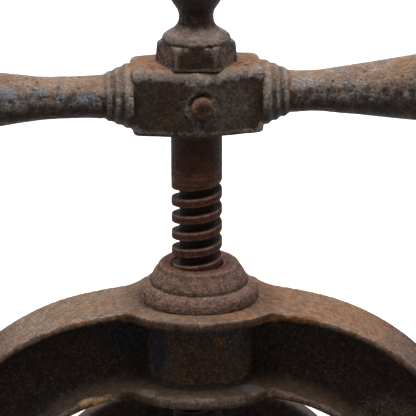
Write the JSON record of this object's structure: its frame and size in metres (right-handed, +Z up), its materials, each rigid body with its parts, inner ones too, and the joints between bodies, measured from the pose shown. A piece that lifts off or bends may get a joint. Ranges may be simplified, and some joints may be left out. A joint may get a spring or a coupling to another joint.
{
  "type": "hand screw fruit press",
  "caption": "Cast-iron screw fruit press: a cross handle turns a square-threaded screw through an arch and drives a plate into a slotted cylinder over a spouted tray.",
  "frame": {"origin": "on the ground, at the middle of the footprint, which the spout and the handle bound", "axes": "+Z up along the screw, +X along the arch to the right leg, -Y out of the pouring spout"},
  "size_m": [0.3108, 0.2262, 0.3861],
  "materials": {
    "cast_frame": "aged cast iron, brown with worn edges and light rust",
    "cast_tray": "aged cast iron",
    "cast_strainer": "dark cast iron, paler worn lip",
    "cast_plate": "dark cast iron",
    "screw_iron": "turned iron, dark brown, worn ridges",
    "cast_handle": "aged cast iron, handled smooth, blue-grey patches",
    "rivet_iron": "red-brown rusted iron",
    "fastener_steel": "dark rusted iron fasteners"
  },
  "bodies": {
    "frame": {"press_frame": "cast_frame", "juice_tray": "cast_tray", "strainer_cylinder": "cast_strainer", "strainer_floor": "cast_strainer", "frame_bolt_left_front": "fastener_steel", "frame_washer_left_front": "fastener_steel", "frame_nut_left_front": "fastener_steel", "frame_bolt_left_rear": "fastener_steel", "frame_washer_left_rear": "fastener_steel", "frame_nut_left_rear": "fastener_steel", "frame_bolt_right_front": "fastener_steel", "frame_washer_right_front": "fastener_steel", "frame_nut_right_front": "fastener_steel", "frame_bolt_right_rear": "fastener_steel", "frame_washer_right_rear": "fastener_steel", "frame_nut_right_rear": "fastener_steel"},
    "plate": {"press_plate": "cast_plate", "retaining_collar_front": "cast_plate", "retaining_collar_rear": "cast_plate", "collar_screw_front_1": "fastener_steel", "collar_screw_front_2": "fastener_steel", "collar_screw_rear_1": "fastener_steel", "collar_screw_rear_2": "fastener_steel"},
    "screw": {"press_screw": "screw_iron", "cross_handle": "cast_handle", "cross_pin": "rivet_iron", "finial_nut": "cast_handle"}
  },
  "joints": [
    {"name": "plate_travel", "type": "slide", "parent": "frame", "child": "plate", "axis": [0, 0, 1], "range_m": [-0.0415, 0.05644]},
    {"name": "screw_turn", "type": "hinge", "parent": "plate", "child": "screw", "pos_m": [0, 0.0189, 0.1083], "axis": [0, 0, 1], "range_deg": [-1800, 2448]}
  ],
  "couplings": [
    {"joint": "plate_travel", "follows": "screw_turn", "m_per_rad": 0.001321}
  ]
}
